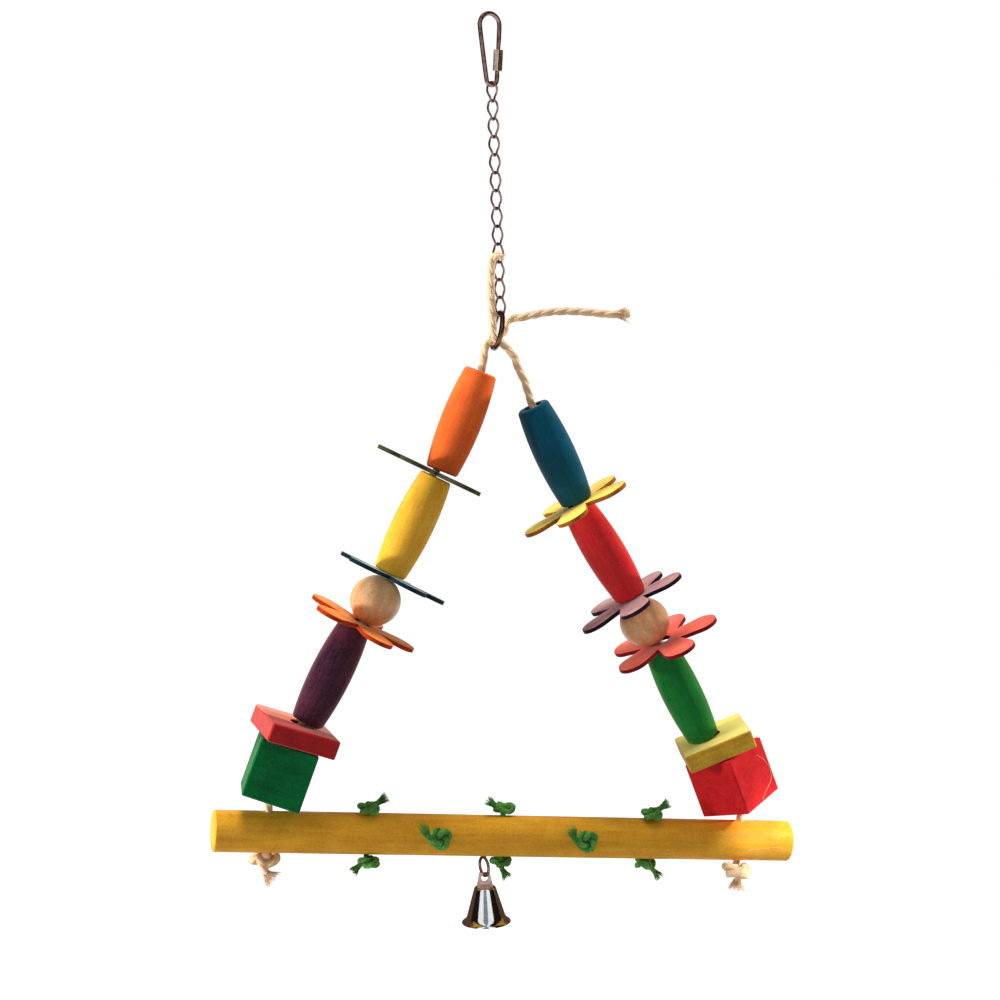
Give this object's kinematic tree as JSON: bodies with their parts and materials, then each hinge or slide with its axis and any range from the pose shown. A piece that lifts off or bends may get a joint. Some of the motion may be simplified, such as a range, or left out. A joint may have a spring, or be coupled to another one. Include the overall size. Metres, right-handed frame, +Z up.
{
  "type": "bird swing",
  "caption": "Hanging bird swing: quick link, twisted-link chain, ring, roped strands of dyed wooden beads, flowers, balls and blocks, a drilled perch with twine knots, and a bell.",
  "frame": {"origin": "the point inside the top bend of the quick link that rests on the cage bar", "axes": "+Z up along the hanging chain; +X along the perch to the right as seen from the front; the front faces -Y"},
  "size_m": [0.3063, 0.0605, 0.4641],
  "materials": {
    "plated_steel": "bright plated steel",
    "nickel": "polished nickel plate",
    "cotton_rope": "laid natural cotton",
    "green_twine": "dyed jute, hairy",
    "bare_wood": "smooth bare wood",
    "wood_bead_orange": "dyed wood with the grain showing",
    "wood_flower_green": "dyed wood with the grain showing",
    "wood_bead_yellow": "dyed wood with the grain showing",
    "wood_flower_teal": "dyed wood with the grain showing",
    "wood_flower_orange": "dyed wood with the grain showing",
    "wood_bead_purple": "dyed wood with the grain showing",
    "wood_plate_red": "dyed wood with the grain showing",
    "wood_cube_green": "dyed wood with the grain showing",
    "wood_bead_teal": "dyed wood with the grain showing",
    "wood_flower_yellow": "dyed wood with the grain showing",
    "wood_bead_red": "dyed wood with the grain showing",
    "wood_flower_purple": "dyed wood with the grain showing",
    "wood_flower_red": "dyed wood with the grain showing",
    "wood_bead_green": "dyed wood with the grain showing",
    "wood_plate_yellow": "dyed wood with the grain showing",
    "wood_cube_red": "dyed wood with the grain showing",
    "wood_perch": "dyed wood with the grain showing"
  },
  "bodies": {
    "hook": {"quick_link": "plated_steel"},
    "sleeve": {"quick_link_nut": "plated_steel"},
    "link_01": {"chain_link_01": "plated_steel"},
    "link_02": {"chain_link_02": "plated_steel"},
    "link_03": {"chain_link_03": "plated_steel"},
    "link_04": {"chain_link_04": "plated_steel"},
    "link_05": {"chain_link_05": "plated_steel"},
    "link_06": {"chain_link_06": "plated_steel"},
    "link_07": {"chain_link_07": "plated_steel"},
    "link_08": {"chain_link_08": "plated_steel"},
    "link_09": {"chain_link_09": "plated_steel"},
    "link_10": {"chain_link_10": "plated_steel"},
    "link_11": {"chain_link_11": "plated_steel"},
    "link_12": {"chain_link_12": "plated_steel"},
    "link_13": {"chain_link_13": "plated_steel"},
    "swing": {"ring": "plated_steel", "rope_left": "cotton_rope", "rope_right": "cotton_rope", "rope_tail_up": "cotton_rope", "rope_tail_side": "cotton_rope", "perch": "wood_perch", "twine_1": "green_twine", "twine_2": "green_twine", "twine_3": "green_twine", "twine_4": "green_twine", "twine_5": "green_twine", "screw_eye": "plated_steel"},
    "turn_bead_orange": {"bead_orange": "wood_bead_orange"},
    "turn_flower_green": {"flower_green": "wood_flower_green"},
    "turn_bead_yellow": {"bead_yellow": "wood_bead_yellow"},
    "turn_flower_teal": {"flower_teal": "wood_flower_teal"},
    "turn_ball_left": {"ball_left": "bare_wood"},
    "turn_flower_orange": {"flower_orange": "wood_flower_orange"},
    "turn_bead_purple": {"bead_purple": "wood_bead_purple"},
    "turn_plate_red": {"plate_red": "wood_plate_red"},
    "turn_cube_green": {"cube_green": "wood_cube_green"},
    "turn_bead_teal": {"bead_teal": "wood_bead_teal"},
    "turn_flower_yellow": {"flower_yellow": "wood_flower_yellow"},
    "turn_bead_red": {"bead_red": "wood_bead_red"},
    "turn_flower_purple": {"flower_purple": "wood_flower_purple"},
    "turn_ball_right": {"ball_right": "bare_wood"},
    "turn_flower_red": {"flower_red": "wood_flower_red"},
    "turn_bead_green": {"bead_green": "wood_bead_green"},
    "turn_plate_yellow": {"plate_yellow": "wood_plate_yellow"},
    "turn_cube_red": {"cube_red": "wood_cube_red"},
    "bell": {"bell_hanger": "nickel", "bell_shell": "nickel"},
    "clapper": {"bell_clapper": "nickel"}
  },
  "joints": [
    {"name": "swing_on_chain", "type": "hinge", "parent": "link_13", "child": "swing", "pos_m": [0, 0, -0.1474], "axis": [0, 1, 0], "range_deg": [-40, 40], "deforming": ["rope_tail_up"]},
    {"name": "bell_swing", "type": "hinge", "parent": "swing", "child": "bell", "pos_m": [-0.01983, 0, -0.43716], "axis": [-0.2588, 0.9659, 0], "range_deg": [-30, 30]},
    {"name": "clapper_swing", "type": "hinge", "parent": "bell", "child": "clapper", "pos_m": [-0.01983, 0, -0.4466], "axis": [1, 0, 0], "range_deg": [-27, 27]},
    {"name": "sleeve_travel", "type": "slide", "parent": "hook", "child": "sleeve", "axis": [0.0991, 0.04, 0.9943], "range_m": [0, 0.0092]},
    {"name": "link_01_tilt", "type": "hinge", "parent": "hook", "child": "link_01", "pos_m": [0, 0, -0.03425], "axis": [0.9272, 0.3746, 0], "range_deg": [-12, 12]},
    {"name": "link_02_tilt", "type": "hinge", "parent": "link_01", "child": "link_02", "pos_m": [0, 0, -0.04135], "axis": [0.7649, -0.6441, 0], "range_deg": [-12, 12]},
    {"name": "link_03_tilt", "type": "hinge", "parent": "link_02", "child": "link_03", "pos_m": [0, 0, -0.05145], "axis": [0.6441, 0.7649, 0], "range_deg": [-12, 12]},
    {"name": "link_04_tilt", "type": "hinge", "parent": "link_03", "child": "link_04", "pos_m": [0, 0, -0.05915], "axis": [0.7157, -0.6984, 0], "range_deg": [-12, 12]},
    {"name": "link_05_tilt", "type": "hinge", "parent": "link_04", "child": "link_05", "pos_m": [0, 0, -0.06925], "axis": [0.6984, 0.7157, 0], "range_deg": [-12, 12]},
    {"name": "link_06_tilt", "type": "hinge", "parent": "link_05", "child": "link_06", "pos_m": [0, 0, -0.07695], "axis": [0.6626, -0.749, 0], "range_deg": [-12, 12]},
    {"name": "link_07_tilt", "type": "hinge", "parent": "link_06", "child": "link_07", "pos_m": [0, 0, -0.08705], "axis": [0.749, 0.6626, 0], "range_deg": [-12, 12]},
    {"name": "link_08_tilt", "type": "hinge", "parent": "link_07", "child": "link_08", "pos_m": [0, 0, -0.09475], "axis": [0.606, -0.7955, 0], "range_deg": [-12, 12]},
    {"name": "link_09_tilt", "type": "hinge", "parent": "link_08", "child": "link_09", "pos_m": [0, 0, -0.10485], "axis": [0.7955, 0.606, 0], "range_deg": [-12, 12]},
    {"name": "link_10_tilt", "type": "hinge", "parent": "link_09", "child": "link_10", "pos_m": [0, 0, -0.11255], "axis": [0.5461, -0.8377, 0], "range_deg": [-12, 12]},
    {"name": "link_11_tilt", "type": "hinge", "parent": "link_10", "child": "link_11", "pos_m": [0, 0, -0.12265], "axis": [0.8377, 0.5461, 0], "range_deg": [-12, 12]},
    {"name": "link_12_tilt", "type": "hinge", "parent": "link_11", "child": "link_12", "pos_m": [0, 0, -0.13035], "axis": [0.4833, -0.8755, 0], "range_deg": [-12, 12]},
    {"name": "link_13_tilt", "type": "hinge", "parent": "link_12", "child": "link_13", "pos_m": [0, 0, -0.14045], "axis": [0.8755, 0.4833, 0], "range_deg": [-12, 12]},
    {"name": "spin_bead_orange", "type": "hinge", "parent": "swing", "child": "turn_bead_orange", "pos_m": [-0.02253, 0, -0.20144], "axis": [0.4147, 0, 0.91], "continuous": true},
    {"name": "spin_flower_green", "type": "hinge", "parent": "swing", "child": "turn_flower_green", "pos_m": [-0.0386, 0, -0.2259], "axis": [0.4772, 0, 0.8788], "continuous": true},
    {"name": "spin_bead_yellow", "type": "hinge", "parent": "swing", "child": "turn_bead_yellow", "pos_m": [-0.0496, 0, -0.25241], "axis": [0.4818, 0, 0.8763], "continuous": true},
    {"name": "spin_flower_teal", "type": "hinge", "parent": "swing", "child": "turn_flower_teal", "pos_m": [-0.06185, 0, -0.27849], "axis": [0.4923, 0.0175, 0.8702], "continuous": true},
    {"name": "spin_ball_left", "type": "hinge", "parent": "swing", "child": "turn_ball_left", "pos_m": [-0.0704, 0, -0.28943], "axis": [0.4848, 0, 0.8746], "continuous": true},
    {"name": "spin_flower_orange", "type": "hinge", "parent": "swing", "child": "turn_flower_orange", "pos_m": [-0.07847, 0, -0.30098], "axis": [0.4981, -0.0872, 0.8627], "continuous": true},
    {"name": "spin_bead_purple", "type": "hinge", "parent": "swing", "child": "turn_bead_purple", "pos_m": [-0.09491, 0, -0.32532], "axis": [0.4924, 0, 0.8704], "continuous": true},
    {"name": "spin_plate_red", "type": "hinge", "parent": "swing", "child": "turn_plate_red", "pos_m": [-0.11439, 0, -0.35322], "axis": [0.3823, -0.0436, 0.923], "continuous": true},
    {"name": "spin_cube_green", "type": "hinge", "parent": "swing", "child": "turn_cube_green", "pos_m": [-0.12331, 0, -0.37248], "axis": [0.3827, 0, 0.9239], "continuous": true},
    {"name": "spin_bead_teal", "type": "hinge", "parent": "swing", "child": "turn_bead_teal", "pos_m": [0.02564, 0, -0.22054], "axis": [-0.3987, 0, 0.9171], "continuous": true},
    {"name": "spin_flower_yellow", "type": "hinge", "parent": "swing", "child": "turn_flower_yellow", "pos_m": [0.03603, 0, -0.24797], "axis": [-0.4616, 0.0209, 0.8868], "continuous": true},
    {"name": "spin_bead_red", "type": "hinge", "parent": "swing", "child": "turn_bead_red", "pos_m": [0.05037, 0, -0.27314], "axis": [-0.4924, 0, 0.8704], "continuous": true},
    {"name": "spin_flower_purple", "type": "hinge", "parent": "swing", "child": "turn_flower_purple", "pos_m": [0.06321, 0, -0.29915], "axis": [-0.4768, 0.0401, 0.8781], "continuous": true},
    {"name": "spin_ball_right", "type": "hinge", "parent": "swing", "child": "turn_ball_right", "pos_m": [0.07033, 0, -0.31099], "axis": [-0.4848, 0, 0.8746], "continuous": true},
    {"name": "spin_flower_red", "type": "hinge", "parent": "swing", "child": "turn_flower_red", "pos_m": [0.08002, 0, -0.32206], "axis": [-0.4057, -0.0698, 0.9113], "continuous": true},
    {"name": "spin_bead_green", "type": "hinge", "parent": "swing", "child": "turn_bead_green", "pos_m": [0.08932, 0, -0.34984], "axis": [-0.4147, 0, 0.91], "continuous": true},
    {"name": "spin_plate_yellow", "type": "hinge", "parent": "swing", "child": "turn_plate_yellow", "pos_m": [0.10691, 0, -0.37815], "axis": [-0.3469, 0, 0.9379], "continuous": true},
    {"name": "spin_cube_red", "type": "hinge", "parent": "swing", "child": "turn_cube_red", "pos_m": [0.11559, 0, -0.39734], "axis": [-0.3173, 0, 0.9483], "continuous": true}
  ]
}
